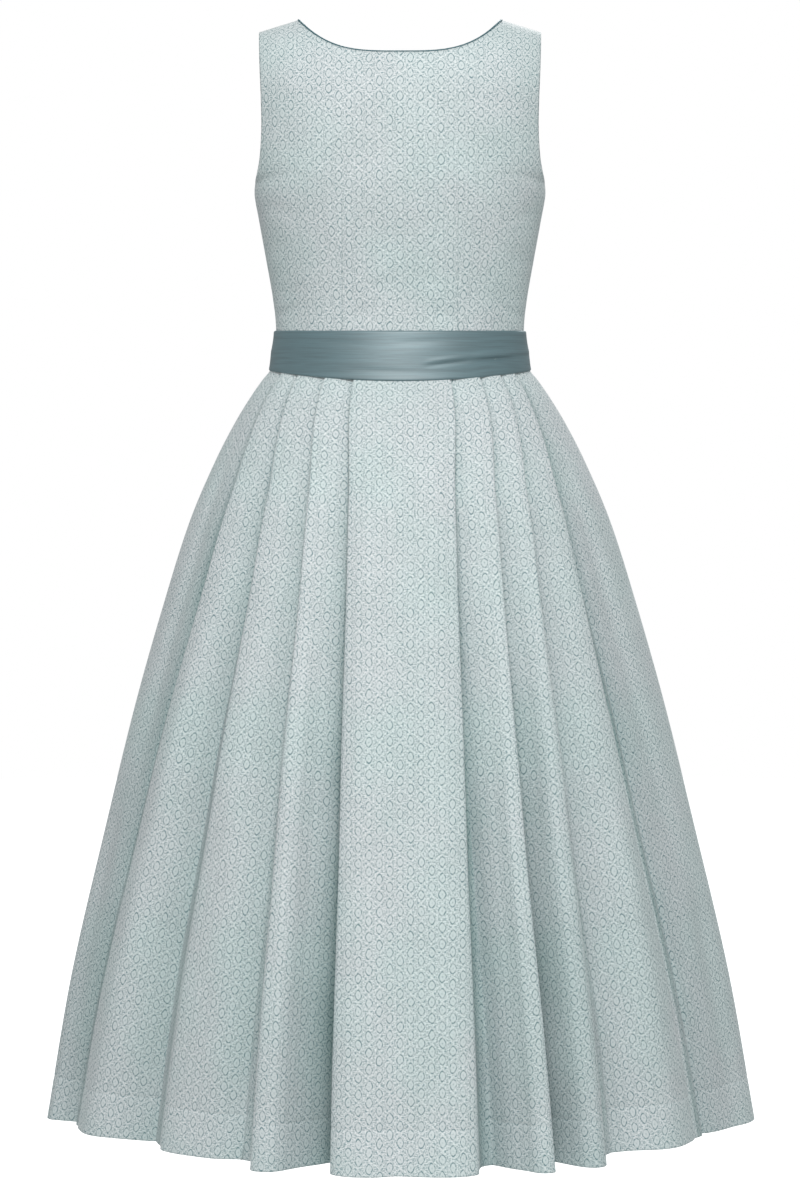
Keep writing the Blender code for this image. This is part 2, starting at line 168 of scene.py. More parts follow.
EDGE_ROLL = 0.3
OPEN_EDGE = (0.4, 0.42)
# Shares of the way to the next edge's inset, and of the pleat's depth, on the climb out of a valley
CLIMB = ((0.1, 0.97), (0.55, 0.4), (0.9, 0.0))
FOOT_REACH = 3.0
LEAST_FOOT = 2.0
SIDE_CREST_ANGLE = 85.0
SIDE_CREST = 2.0
SIDE_VALLEY = 11.0
HEM_EDGE_TURN = 9.0
HEM_VALLEY_TURN = 5.0
VALLEY_WIDTH = (0.2, 13.0)

SASH_LAP = 60.0
SASH_CLEARANCE = 0.8
LAP_CLEARANCE = 1.3
LAP_RISE = (3.0, 1.4)

# ---- sizes of the dressed cloth

BODICE_CLOTH = 1.0
SEWN_GAP = 0.01  # half the gap where two sheets meet at a seam

# Skirt rows: the spacing of the rows at heights down the skirt
ROW_SPACING = ((-358, 3.0), (-420, 5.0), (-520, 9.0), (-1203, 10.0))
LINE_STEPS = 6  # columns from each point of the fold line to the next
HEM_TURN = 47.0  # depth of the hem turned up inside
HEM_INSIDE = 1.7  # how far inside the outer layer the turned-up layer lies
HEM_STITCH = (0.5, 1.6)  # depth and half height of the dimple at the hem's stitching
# How far the even rows stay above the hem, off its stitching and off its edge
LAST_EVEN_ROW, STITCH_ROOM, EDGE_ROOM = 12.0, 5.5, 4.0
STITCH_ROWS = (-4.0, -2.0, -1.0, 0.0, 1.0, 2.0, 4.0)
EDGE_ROWS = (2.0, 0.5)
# Rows over the hem's edge and up inside: height above the hem, and share of the way inside
TURNED_ROWS = ((0.0, 0.35), (0.0, 0.75), (0.7, 1.0), (10.0, 1.0), (24.0, 1.0), (36.0, 1.0), (HEM_TURN, 1.0))

# Each fold's points, as places on a scale that counts one for each panel from the middle
FOLD_PLACES = (1.0, 1.02, 1.06, 1.1, 1.15, 1.5, 1.8)
VALLEY_PLACE = 1.1
CENTRE_PLACES = (0.0, 1.5, 2.5, 3.5, 4.5)  # the middle of each panel, which its grain follows
NEAR_CENTRE = 0.1  # only a panel with a column this near its middle is there
MIDDLE_PLACES = (0.0, 0.375, 0.8)
SIDE_PLACES = (5.0, 5.1)

# Painted shade beside a fold's edge, in place of its shadow: how far it reaches, and how strong it is, at the
# waist and at the hem
FOLDS = 4
UNDER_EDGE = 0.04  # where a panel comes out from under the edge, on the scale of places
CREST_PLACE = 0.8
SHADE_REACH = (1.7, 21.0)
REACH_GROWTH = 1.3  # the reach grows slowly at first on the way down
SHADE_SPREAD = 0.5  # how much farther it reaches for each fold nearer the side, at the waist
WIDE_SHARE = 0.6  # how much of the shade is soft and wide, and how many times wider it reaches
WIDE_REACH = 3.2
SHADE_STRENGTH = (0.7, 0.72)
SHADE_START = (-384.0, 12.0)  # where it begins under the sash, and how soon it is full
UNEVEN_SHADE = (0.3, 90.0)  # by how much it varies along a fold, and over what length
FOLD_SEED, SIDE_SEED = 3.7, 5.1  # these give every fold its own variation

# Soft drapes of the skirt: where each starts and ends on that scale, its top and
# bottom height, half width and depth. A negative depth stands proud. Each comes in and goes out over
# these shares of its length, and widens on the way down.
DRAPE_FADES = (0.35, 0.4)
DRAPE_WIDTHS = (0.7, 1.2)
Drape = namedtuple("Drape", "start end top bottom width depth")
DRAPES = {
    (BACK, LEFT): named_rows(
        Drape,
        (0.62, 0.70, -420, -900, 16, -2.6), (0.20, 0.10, -520, -1203, 20, 2.2),
        (1.60, 1.45, -440, -1203, 17, 3.6), (1.85, 1.75, -600, -1203, 15, -3),
        (2.40, 2.62, -430, -980, 18, 4.2), (2.70, 2.40, -760, -1203, 22, -5),
        (3.35, 3.50, -420, -1120, 19, 4), (3.70, 3.72, -560, -1203, 22, -5.5),
        (4.55, 4.40, -400, -900, 14, 4.4), (4.70, 4.62, -780, -1203, 20, 4),
    ),
    (BACK, RIGHT): named_rows(
        Drape,
        (0.55, 0.66, -400, -760, 15, -2.4), (0.24, 0.30, -700, -1203, 19, 2),
        (1.48, 1.62, -430, -1203, 18, 3.4), (1.80, 1.86, -700, -1203, 14, -2.6),
        (2.55, 2.40, -420, -1040, 17, 4.4), (2.76, 2.70, -640, -1203, 18, -4.2),
        (3.45, 3.40, -410, -1203, 20, 4.4), (3.78, 3.66, -800, -1203, 23, -5),
        (4.40, 4.50, -400, -1000, 15, 4), (4.66, 4.58, -900, -1203, 21, 4.6),
    ),
    (FRONT, LEFT): named_rows(
        Drape,
        (0.60, 0.68, -410, -860, 16, -2.6), (1.55, 1.42, -430, -1203, 18, 3.6),
        (1.84, 1.78, -660, -1203, 15, -3), (2.44, 2.60, -420, -1010, 18, 4),
        (2.72, 2.52, -720, -1203, 21, -4.6), (3.40, 3.46, -420, -1160, 19, 4.2),
        (3.72, 3.70, -620, -1203, 22, -5), (4.50, 4.46, -400, -940, 15, 4.2),
    ),
    (FRONT, RIGHT): named_rows(
        Drape,
        (0.64, 0.60, -430, -940, 17, -2.4), (1.46, 1.60, -420, -1203, 17, 3.4),
        (1.82, 1.74, -560, -1203, 16, -2.8), (2.58, 2.46, -430, -1080, 18, 4.2),
        (2.74, 2.66, -780, -1203, 19, -4.4), (3.36, 3.48, -410, -1203, 19, 4),
        (3.74, 3.68, -700, -1203, 22, -5.2), (4.46, 4.52, -410, -980, 16, 4.4),
    ),
}

# Darts: how far from the middle of the face, the height of the tip, and the cloth taken in at the waist
Dart = namedtuple("Dart", "x tip intake")
DARTS = {BACK: Dart(62.7, -196, 12.0), FRONT: Dart(78.0, -245, 16.0)}
DART_GROOVE = (0.45, 1.6)  # depth and half width
DART_START = 12.0  # the groove is full this far below the tip
DART_SHADE = 0.2  # the painted shade on the dart's stitching
ON_DART = 0.5  # half width of that stitching
# Bodice columns by their distance from the dart, close together beside the stitching
DART_COLUMNS = (0.0, 1.0, 2.0, 3.4, 5.2)
BODICE_SHIFT = 1000.0  # the bodice's place up the flat cloth, clear of the skirt's
COLUMN_STEP = 2.8
OUTER_DENSITY = 1.25  # columns stand closer beyond the dart, where the panel turns round the body
ROW_STEP = 3.0
SECTION_STEPS = 60
SECTION_SPACING = 4.0
ROUNDING_STEPS = 8

EDGE_ON = 0.05  # a normal that faces forwards by less than this is judged by its sideways part

# Creases of the bodice: from one point to another, seen square on, with half width and depth. A crease
# is deepest before its middle, tapers to both ends and is left out beyond some half widths.
CREASE_SKEW, CREASE_TAPER, CREASE_EXTENT = 0.7, 1.5, 3.0
Crease = namedtuple("Crease", "x1 z1 x2 z2 width depth")
CREASES = {
    BACK: named_rows(
        Crease,
        (-138, -320, -92, -298, 5.5, 1.8), (-134, -296, -78, -284, 7, 1.2),
        (-56, -326, -18, -296, 7, 1.8), (-40, -292, 6, -276, 8, 1.3),
        (-146, -250, -112, -238, 7, 0.9), (-150, -196, -104, -214, 8, 1.1),
        (-146, -176, -120, -150, 7, 0.9), (136, -322, 90, -296, 5.5, 1.8),
        (130, -300, 74, -290, 7, 1), (60, -326, 22, -300, 7, 1.9),
        (46, -286, 4, -270, 8.5, 1.2), (148, -262, 108, -246, 7.5, 1),
        (152, -200, 108, -222, 8.5, 1.1), (148, -178, 124, -146, 6.5, 0.9),
        (-30, -236, 34, -230, 12, 0.6),
    ),
    FRONT: named_rows(
        Crease,
        (-136, -320, -100, -302, 6, 1.2), (-120, -292, -84, -276, 7, 1.1),
        (-60, -322, -28, -304, 7, 1), (-148, -240, -108, -222, 8, 1),
        (-148, -182, -112, -196, 7, 1), (134, -322, 94, -300, 6.5, 1.2),
        (124, -298, 88, -282, 7.5, 1), (58, -324, 24, -300, 8, 1.1),
        (150, -248, 112, -226, 8, 1), (150, -186, 110, -200, 7.5, 1),
    ),
}

# The sash: its folds lie along it. Each runs between two places round the waist, in millimetres
# right of the middle of the back, at two heights, with half height and depth.
SASH_COLUMNS = 280
SASH_ROWS = 46
SASH_CREASES = named_rows(
    Crease,
    (78, -366.5, 154, -361, 2.3, 2.2), (76, -361.5, 154, -356, 2.6, -1.7),
    (24, -372.5, 108, -362.5, 2, 1.4), (26, -367.5, 102, -358.5, 2.4, -1.1),
    (-12, -347, 92, -343, 3.4, 0.5), (-118, -368.5, -40, -361, 3.4, 0.6),
    (-92, -345, -26, -349, 3, 0.5), (-139, -354, -84, -350, 2.8, 0.6),
    (-66, -375, 24, -378, 2.8, 0.5),
)
FRONT_CREASES = 0.8  # the front has the same creases, this much as deep
SASH_SWELL = 0.7
SWELL_NOISE = (1.3, 3.1, 4.0)  # scale round the waist and down the band, and seed
SASH_TUCK = 0.9  # how far its lower edge presses into the skirt, and where that begins
SASH_TUCK_START = 0.7
SASH_CLOTH = 0.8
SASH_INSET = 0.2  # how far it stays inside the solid band's wall
SASH_EDGE_ROLL = 0.06

NECK_STEPS = 96
CORD_RADIUS = 0.75
PIPING_RISE = 0.5  # height of the cord's middle over the cloth's edge
PIPING_ENDS = 1.7  # how much thicker the cord is where it meets the shoulder seams
PIPING_END_POWER = 6  # keeps that to its last centimetres


def smooth_value(place, stations, values):
    """The value at a place on the smooth curve through (station, value), kept level past its ends."""
    pairs = sorted(zip(stations, values))
    if place <= pairs[0][0]:
        return pairs[0][1]
    if place >= pairs[-1][0]:
        return pairs[-1][1]
    last = len(pairs) - 1
    start = max(i for i in range(last) if pairs[i][0] <= place)

    def slope(i):
        low, high = max(i - 1, 0), min(i + 1, last)
        return (pairs[high][1] - pairs[low][1]) / (pairs[high][0] - pairs[low][0])

    (x0, y0), (x1, y1) = pairs[start], pairs[start + 1]
    span = x1 - x0
    t = (place - x0) / span
    return (
        y0 * (1 + 2 * t) * (1 - t) ** 2
        + slope(start) * span * t * (1 - t) ** 2
        + y1 * t * t * (3 - 2 * t)
        + slope(start + 1) * span * t * t * (t - 1)
    )


def level_value(table, field, height):
    return smooth_value(height, [row.height for row in table], [getattr(row, field) for row in table])


def mix(first, second, share):
    return first + (second - first) * share


def clamp(value):
    return min(max(value, 0.0), 1.0)


def eased(value):
    value = clamp(value)
    return value * value * (3 - 2 * value)


def waist_dip(sideways, height):
    ends_at = WAIST_SEAM if height > SASH_BOTTOM else DIP_FOOT
    kept = clamp((ends_at - height) / (ends_at - SASH_BOTTOM))
    return WAIST_DIP * kept * (1 - clamp(abs(sideways)) ** 2)


# ---- materials


def linear(code):
    """A hex sRGB colour as linear red, green, blue and alpha."""
    channels = [int(code[i : i + 2], 16) / 255 for i in (1, 3, 5)]
    return [c / 12.92 if c <= 0.04045 else ((c + 0.055) / 1.055) ** 2.4 for c in channels] + [1.0]


def node(tree, kind, inputs=None, output=0, **settings):
    """Adds a node with its settings. Each input is another node's socket or a constant."""
    made = tree.nodes.new("ShaderNode" + kind)
    for name, value in settings.items():
        setattr(made, name, value)
    for key, value in (inputs or {}).items():
        if isinstance(value, bpy.types.NodeSocket):
            tree.links.new(value, made.inputs[key])
        else:
            made.inputs[key].default_value = value
    return made.outputs[output]


def new_material(name):
    made = bpy.data.materials.new(name)
    made.use_nodes = True
    return made, made.node_tree, made.node_tree.nodes["Principled BSDF"]


# The jacquard's repeat: medallions in columns, each second column half a repeat lower
REPEAT = (22.0, 17.0)
MEDALLION = (3.6, 5.4)  # half width and half height of its outline
POINTEDNESS = 0.3  # how far the medallion's oval leans to a diamond
DOT_OFFSET = 2.9  # from the lattice's crossings to the dots on both sides
# Where each figure's edge begins and ends: the outline by its distance from the oval, the others by
# their own radius or, for the lattice, by the nearness of its lines
OUTLINE_EDGE = (0.06, 0.21)
LATTICE_EDGE = (0.9, 0.98)
DOT_EDGE = (0.6, 1.3)
CLEARING_EDGE = (1.2, 1.55)
HEART_EDGE = (0.78, 0.94)
EYE_EDGE = (0.05, 0.3)
# Each thread group's sRGB colour
GROUND_SHADE = "#A2B3B5"
GROUND_LIGHT = "#DDE3E3"
OUTLINE = "#67878C"
HEART = "#D2DBDB"
LATTICE = "#EAF0EF"
DOTS = "#869FA4"
REVERSE = "#B4C4C6"
COOL_TINT = "#F7FCFB"
WARM_TINT = "#FDFBFC"
# Colour of the painted shade, multiplied in deep in each fold and on the darts' stitching
PAINTED_SHADE_TINT = "#93ACAB"
REVERSE_SHARE = 0.55
# Noise scales, in patches or threads to the metre, and where their values are cut off
WANDER_SCALE = 110.0
WANDER = (0.0024, 0.0024, 0.0)
PATCH_SCALE = 20.0
TINT_SCALE, TINT_CUT = 8.0, (0.3, 0.7)
FLOATS = (480.0, 860.0, 1.0)  # threads float over 2 mm across and 1.2 mm up, as coarse as they show
FLOAT_CUT = (0.39, 0.61)
BREAKS, BREAK_CUT = 330.0, (0.34, 0.6)
BROKEN = (0.7, 0.3)  # a figure's share that comes and goes, and the share that always shows
HEM_BAND = (47.0, 48.6)
# The cloth's tone at its darkest, and what the patches, the threads and the hem's second layer add
LEAST_TONE, PATCH_TONE, THREAD_TONE, HEM_TONE = 0.82, 0.12, 0.24, 0.035


def jacquard(name, is_reverse=False):
    """Cotton jacquard, woven in pale aqua and teal: matt, a little rough with thread ends, with
    figures that break up where the threads float."""
    made, tree, shader = new_material(name)
    add = partial(node, tree)
    cloth_map = add("UVMap", uv_map="cloth")
    # Threads wander by a few tenths of a millimetre.
    drift = {"Vector": cloth_map, "Scale": WANDER_SCALE, "Detail": 3.0}
    wander = add("TexNoise", drift, output=1, noise_dimensions="2D")
    wander = add("VectorMath", {0: wander, 1: (0.5, 0.5, 0.5)}, operation="SUBTRACT")
    moved = add("VectorMath", {0: wander, 1: WANDER, 2: cloth_map}, operation="MULTIPLY_ADD")
    place = add("SeparateXYZ", {0: moved}).node.outputs
    width, height = REPEAT

    def cell(axis, size, shift):
        """Millimetres from the nearest centre of a row or column of figures."""
        repeats = {0: place[axis], 1: 1000.0 / size, 2: 0.5 + shift}
        part = add("Math", {0: add("Math", repeats, operation="MULTIPLY_ADD")}, operation="FRACT")
        return add("Math", {0: part, 1: size, 2: -size / 2}, operation="MULTIPLY_ADD")

    def radius(x, y, x_size, y_size):
        """1 on the outline of an oval of these half sizes that leans to a diamond."""
        across, upward = (
            add("Math", {0: add("Math", {0: way, 1: 1.0 / size}, operation="MULTIPLY")}, operation="ABSOLUTE")
            for way, size in ((x, x_size), (y, y_size))
        )
        square = add("Math", {0: across, 1: across}, operation="MULTIPLY")
        total = add("Math", {0: upward, 1: upward, 2: square}, operation="MULTIPLY_ADD")
        root = add("Math", {0: total}, operation="SQRT")
        round_part = add("Math", {0: root, 1: 1.0 - POINTEDNESS}, operation="MULTIPLY")
        corners = add("Math", {0: across, 1: upward}, operation="ADD")
        return add("Math", {0: corners, 1: POINTEDNESS, 2: round_part}, operation="MULTIPLY_ADD")

    # The lattice crosses half a column away from each medallion, with a dot on both sides.
    ovals, spots = [], []
    for shift in (0.0, 0.5):
        x = cell(0, width, shift)
        ovals.append(radius(x, cell(1, height, shift), *MEDALLION))
        away = add("Math", {0: x}, operation="ABSOLUTE")
        beside = add("Math", {0: away, 1: DOT_OFFSET}, operation="SUBTRACT")
        spots.append(radius(beside, cell(1, height, 0.5 - shift), 1.0, 1.0))
    medallion = add("Math", dict(enumerate(ovals)), operation="MINIMUM")
    dots = add("Math", dict(enumerate(spots)), operation="MINIMUM")

    def diagonal(sign):
        """How near the lattice's lines in one direction are, up to 1 in their middle."""
        rise = add("Math", {0: place[1], 1: sign * 2000.0 / height}, operation="MULTIPLY")
        across = add("Math", {0: place[0], 1: 2000.0 / width, 2: rise}, operation="MULTIPLY_ADD")
        return add("Math", {0: across, 1: 1.0}, operation="PINGPONG")

    line = add("Math", {0: diagonal(1), 1: diagonal(-1)}, operation="MAXIMUM")
    offset = add("Math", {0: medallion, 1: 1.0}, operation="SUBTRACT")
    offset = add("Math", {0: offset}, operation="ABSOLUTE")
    float_map = add("VectorMath", {0: cloth_map, 1: FLOATS}, operation="MULTIPLY")
    threads, breaks, dyes, patches = (
        add("TexNoise", {"Vector": flat, "Scale": scale, "Detail": detail}, noise_dimensions="2D")
        for flat, scale, detail in (
            (float_map, 1.0, 2.0), (cloth_map, BREAKS, 2.0),
            (cloth_map, TINT_SCALE, 2.0), (cloth_map, PATCH_SCALE, 3.0),
        )
    )
    floats, breaks, dyes = (
        add("MapRange", {0: value, 1: low, 2: high}, interpolation_type="SMOOTHSTEP")
        for value, (low, high) in ((threads, FLOAT_CUT), (breaks, BREAK_CUT), (dyes, TINT_CUT))
    )
    broken = add("Math", {0: breaks, 1: BROKEN[0], 2: BROKEN[1]}, operation="MULTIPLY_ADD")
    # From the lowest thread group to the highest: what its figure is cut from, where its edge begins
    # and ends, its share on both sides of the edge, where it breaks up, and its colour
    groups = (
        (line, LATTICE_EDGE, (0.0, 0.75), breaks, LATTICE),
        (dots, DOT_EDGE, (1.0, 0.0), broken, DOTS),
        (medallion, CLEARING_EDGE, (0.7, 0.0), 1.0, GROUND_LIGHT),
        (medallion, HEART_EDGE, (0.8, 0.0), 1.0, HEART),
        (offset, OUTLINE_EDGE, (1.0, 0.0), broken, OUTLINE),
        (medallion, EYE_EDGE, (0.7, 0.0), broken, DOTS),
    )
    in_colour = {"output": 2, "data_type": "RGBA"}
    colour = add("Mix", {0: floats, 6: linear(GROUND_SHADE), 7: linear(GROUND_LIGHT)}, **in_colour)
    shares = {}
    for value, edge, ends, kept, code in groups:
        cut = dict(enumerate((value, *edge, *ends)))
        share = add("MapRange", cut, interpolation_type="SMOOTHSTEP")
        shares[code] = add("Math", {0: share, 1: kept}, operation="MULTIPLY")
        colour = add("Mix", {0: shares[code], 6: colour, 7: linear(code)}, **in_colour)
    # Dye and wear give patches a few centimetres across that are lighter or darker, cooler or warmer.
    tint = add("Mix", {0: dyes, 6: linear(COOL_TINT), 7: linear(WARM_TINT)}, **in_colour)
    colour = add("Mix", {0: 1.0, 6: colour, 7: tint}, blend_type="MULTIPLY", **in_colour)
    tone = add("Math", {0: patches, 1: PATCH_TONE, 2: LEAST_TONE}, operation="MULTIPLY_ADD")
    tone = add("Math", {0: threads, 1: THREAD_TONE, 2: tone}, operation="MULTIPLY_ADD")
    # The turned-up hem lies behind the cloth and makes it a little denser and lighter.
    low, high = (MM * edge for edge in HEM_BAND)
    hem = add("MapRange", {0: place[1], 1: low, 2: high, 3: 1.0, 4: 0.0}, interpolation_type="SMOOTHSTEP")
    tone = add("Math", {0: hem, 1: HEM_TONE, 2: tone}, operation="MULTIPLY_ADD")
    colour = add("VectorMath", {0: colour, 3: tone}, operation="SCALE")
    # Painted shade: deep in each fold and on the darts' stitching the cloth is painted darker and more teal,
    # in place of their shadow.
    painted_shade = add("Attribute", output=2, attribute_name="fold_shade")
    colour = add("Mix", {0: painted_shade, 6: colour, 7: linear(PAINTED_SHADE_TINT)}, blend_type="MULTIPLY", **in_colour)
    if is_reverse:
        colour = add("Mix", {0: REVERSE_SHARE, 6: colour, 7: linear(REVERSE)}, **in_colour)
    tree.links.new(colour, shader.inputs["Base Color"])
    relief = add("Math", {0: shares[OUTLINE], 1: -0.5, 2: threads}, operation="MULTIPLY_ADD")
    bump = add("Bump", {"Strength": 0.45, "Distance": 0.0004, "Height": relief})
    tree.links.new(bump, shader.inputs["Normal"])
    shader.inputs["Roughness"].default_value = 0.7
    shader.inputs["Sheen Weight"].default_value = 0.15
    shader.inputs["Sheen Roughness"].default_value = 0.4
    return made


SLUB = (24.0, 900.0, 1.0)  # a slub is 30 to 60 mm long and about a millimetre high
STREAK = (9.0, 260.0, 1.0)
SATIN_CUT = (0.8, 1.2)
SATIN_SHADE = "#46686F"
SATIN_LIGHT = "#547880"
PIPING_TEAL = "#456A72"


def slub_satin():
    """Dusty teal satin with slubs: its threads lie along the sash, so the shine is drawn out
    up and down and fades round the waist, with long faint streaks."""
    made, tree, shader = new_material("Slub satin")
    cloth_map = node(tree, "UVMap", uv_map="cloth")
    grains = {}
    for i, (size, detail) in enumerate(((SLUB, 3.0), (STREAK, 2.0))):
        drawn = node(tree, "VectorMath", {0: cloth_map, 1: size}, operation="MULTIPLY")
        streaks = {"Vector": drawn, "Scale": 1.0, "Detail": detail}
        grains[i] = node(tree, "TexNoise", streaks, noise_dimensions="2D")
    both = node(tree, "Math", grains, operation="ADD")
    share = node(tree, "MapRange", {0: both, 1: SATIN_CUT[0], 2: SATIN_CUT[1], 3: 0.0, 4: 1.0})
    teals = {0: share, 6: linear(SATIN_SHADE), 7: linear(SATIN_LIGHT)}
    colour = node(tree, "Mix", teals, output=2, data_type="RGBA")
    tree.links.new(colour, shader.inputs["Base Color"])
    bump = node(tree, "Bump", {"Strength": 0.25, "Distance": 0.0003, "Height": both})
    tree.links.new(bump, shader.inputs["Normal"])
    threads = node(tree, "Tangent", direction_type="UV_MAP", uv_map="cloth")
    tree.links.new(threads, shader.inputs["Tangent"])
    shader.inputs["Roughness"].default_value = 0.55
    shader.inputs["IOR"].default_value = 2.0
    shader.inputs["Metallic"].default_value = 0.25
    shader.inputs["Anisotropic"].default_value = 0.35
    shader.inputs["Anisotropic Rotation"].default_value = 0.25
    shader.inputs["Specular IOR Level"].default_value = 1.0
    return made


def piping_satin():
    """Dark teal satin piping: a fine rolled line with a soft shine."""
    made, _, shader = new_material("Satin piping")
    shader.inputs["Base Color"].default_value = linear(PIPING_TEAL)
    shader.inputs["Roughness"].default_value = 0.45
    return made


# ---- sheets of cloth


def add_object(name, data):
    made = bpy.data.objects.new(name, data)
    bpy.context.scene.collection.objects.link(made)
    return made


def add_mesh(name, body, finishes):
    """An object from a finished bmesh, with its materials."""
    mesh = bpy.data.meshes.new(name)
    body.to_mesh(mesh)
    body.free()
    for finish in finishes:
        mesh.materials.append(finish)
    return add_object(name, mesh)


def cloth_sheet(name, points, cloth_uv, shade_at, thickness, finishes):
    """A sheet through a grid of points in mm, as rows of columns. cloth_uv gives a face corner's
    place on the flat cloth in mm, from its face's column and its own row and column."""
    rows, columns = len(points), len(points[0])
    body = bmesh.new()
    bmesh.ops.create_grid(body, x_segments=columns - 1, y_segments=rows - 1, size=0.5)
    flat_map = body.loops.layers.uv.new("cloth")
    shade_layer = body.verts.layers.float.new("fold_shade")
    places = {}
    for vertex in body.verts:
        column = round((vertex.co.x + 0.5) * (columns - 1))
        row = round((vertex.co.y + 0.5) * (rows - 1))
        places[vertex] = (row, column)
    for face in body.faces:
        face_column = min(places[corner.vert][1] for corner in face.loops)
        for corner in face.loops:
            u, v = cloth_uv(face_column, *places[corner.vert])
            corner[flat_map].uv = (u * MM, v * MM)
        face.smooth = True
    for vertex, (row, column) in places.items():
        vertex.co = Vector(points[row][column]) * MM
        vertex[shade_layer] = shade_at(row, column)
    body.normal_update()
    facing = 0.0
    for face in body.faces:
        middle = face.calc_center_median()
        facing += face.normal.dot(Vector((middle.x, middle.y, 0.0)).normalized()) * face.calc_area()
    if facing < 0:
        bmesh.ops.reverse_faces(body, faces=body.faces)
    made = add_mesh(name + "_cloth", body, finishes)
    shell = made.modifiers.new("Cloth thickness", "SOLIDIFY")
    shell.thickness = thickness * MM
    shell.offset = -1.0
    shell.material_offset = len(finishes) - 1
    return made


def along(points):
    """The way from the first point to each of the others."""
    ways = [0.0]
    for first, second in zip(points, points[1:]):
        ways.append(ways[-1] + dist(first, second))
    return ways


def run_at(line, i):
    """The way from the point before a place on a line to the point after it."""
    return Vector(line[min(i + 1, len(line) - 1)]) - Vector(line[max(i - 1, 0)])


def over_sides(half, sides):
    """A half's places, signed for its side, or both halves' from left to right."""
    if len(sides) == 2:
        return [-place for place in half[:0:-1]] + half
    return [sides[0] * place for place in half]


def short_of_seams(face, sides, x, y):
    """A point kept just short of the side seams and, on a half panel, of the centre seam."""
    if len(sides) == 1:
        x = sides[0] * max(sides[0] * x, SEWN_GAP)
    return x, face * max(face * y, SEWN_GAP)


# ---- skirt


def ring_place(face, side, level, angle, along_ring, outward):
    depth = getattr(level, DEPTHS[face])
    for _ in range(2):
        speed = hypot(level.half_width * cos(angle), depth * sin(angle))
        angle, along_ring = angle + along_ring / speed, 0.0
    x, y = level.half_width * sin(angle), depth * cos(angle)
    normal = (depth * sin(angle), level.half_width * cos(angle))
    size = hypot(*normal)
    return side * (x + outward * normal[0] / size), face * (y + outward * normal[1] / size)


def ring_distance(face, level, first, second):
    depth = getattr(level, DEPTHS[face])
    middle = (first + second) / 2
    return (second - first) * hypot(level.half_width * cos(middle), depth * sin(middle))


def crest_run(span, valley):
    return max(CREST_SHARE * span, CREST_CLEARANCE - valley)


def skirt_quarter(face, side, level):
    """A section's outer line from the middle of a face to the side seam, fold by fold."""
    grown = (WAIST_SEAM - level.height) / (WAIST_SEAM - HEM)
    pleats = PLEATS[face, side]
    valley_width = mix(*VALLEY_WIDTH, grown)
    angles = [radians(smooth_value(level.height, PLEAT_HEIGHTS, pleat[:4])) for pleat in pleats]
    insets = [pleat.inset * grown for pleat in pleats]
    swell, trough = CREST_SWELL * grown, TROUGH_DEPTH * grown
    at = partial(ring_place, face, side, level)
    stops = [0.0, *angles, radians(SIDE_CREST_ANGLE)]
    spans = [ring_distance(face, level, a, b) for a, b in zip(stops, stops[1:])]
    laps = [min(WAIST_LAP, LAP_SHARE * span) for span in spans]
    valleys = [mix(-lap, pleat.opening, grown) for lap, pleat in zip(laps, pleats)]
    slope_end, depth_left = TROUGH_SLOPE
    line = [
        at(0.0, 0.0, swell - trough),
        at(angles[0] * slope_end, 0.0, swell - trough * depth_left),
        at(angles[0], -crest_run(spans[0], valleys[0]), swell - insets[0] / 2),
    ]
    for i, (pleat, angle, inset, valley) in enumerate(zip(pleats, angles, insets, valleys)):
        is_last = i == len(pleats) - 1
        next_inset = -SIDE_CREST * grown if is_last else insets[i + 1]
        run = crest_run(spans[i + 1], 0.0 if is_last else valleys[i + 1])
        opened = clamp(valley / OPEN_PLEAT)
        depth = max(mix(WAIST_DEPTH, pleat.depth, grown), WAIST_DEPTH * (1 - opened))
        edge_turn = max(TWO_LAYERS, min(mix(TWO_LAYERS, HEM_EDGE_TURN, grown), depth / 2))
        valley_turn = max(LAYER_GAP, min(mix(LAYER_GAP, HEM_VALLEY_TURN, grown), depth - TWO_LAYERS))
        edge_drop = mix(edge_turn, OPEN_EDGE[1] * depth, opened)
        foot = max(LEAST_FOOT, valley + valley_width + FOOT_REACH)
        foot_level, slope_level, crest_level = (
            -mix(inset, next_inset, risen) - depth * left for risen, left in CLIMB
        )
        line += [
            at(angle, 0.0, -inset),
            at(angle, OPEN_EDGE[0] * valley * opened - EDGE_ROLL, -inset - edge_drop),
            at(angle, valley, -inset - depth + valley_turn),
            at(angle, valley + valley_width, -inset - depth),
            at(angle, foot, foot_level),
            at(angle, (foot + spans[i + 1] - run) / 2, slope_level),
            at(stops[i + 2], -run, crest_level),
        ]
    line.append(at(radians(SIDE_CREST_ANGLE), 0.0, SIDE_CREST * grown))
    line.append(at(pi / 2, 0.0, -SIDE_VALLEY * grown))
    return line


def rounded(points, steps):
    """A smooth line through the points, with this many steps from each to the next. Its speed
    follows the root of each step's length, so that it keeps close to tight folds."""
    points = [Vector(point) for point in points]
    points = [points[0] * 2 - points[1], *points, points[-1] * 2 - points[-2]]
    line = [points[1]]
    for a, b, c, d in zip(points, points[1:], points[2:], points[3:]):
        g0, g1, g2 = (max((q - p).length, 1e-6) ** 0.5 for p, q in ((a, b), (b, c), (c, d)))
        leave = ((b - a) / g0 - (c - a) / (g0 + g1) + (c - b) / g1) * g1
        reach = ((c - b) / g1 - (d - b) / (g1 + g2) + (d - c) / g2) * g1
        for k in range(1, steps + 1):
            t = k / steps
            line.append(
                b * (2 * t**3 - 3 * t * t + 1)
                + leave * (t**3 - 2 * t * t + t)
                + c * (3 * t * t - 2 * t**3)
                + reach * (t**3 - t * t)
            )
    return line


def quarter_places():
    """The place on the panel scale of each column of a quarter, middle to side seam."""
    stops = [*MIDDLE_PLACES]
    for fold in range(len(PLEATS[BACK, LEFT])):
        stops += [fold + place for place in FOLD_PLACES]
    stops += SIDE_PLACES
    places = [mix(a, b, k / LINE_STEPS) for a, b in zip(stops, stops[1:]) for k in range(LINE_STEPS)]
    return places + stops[-1:]


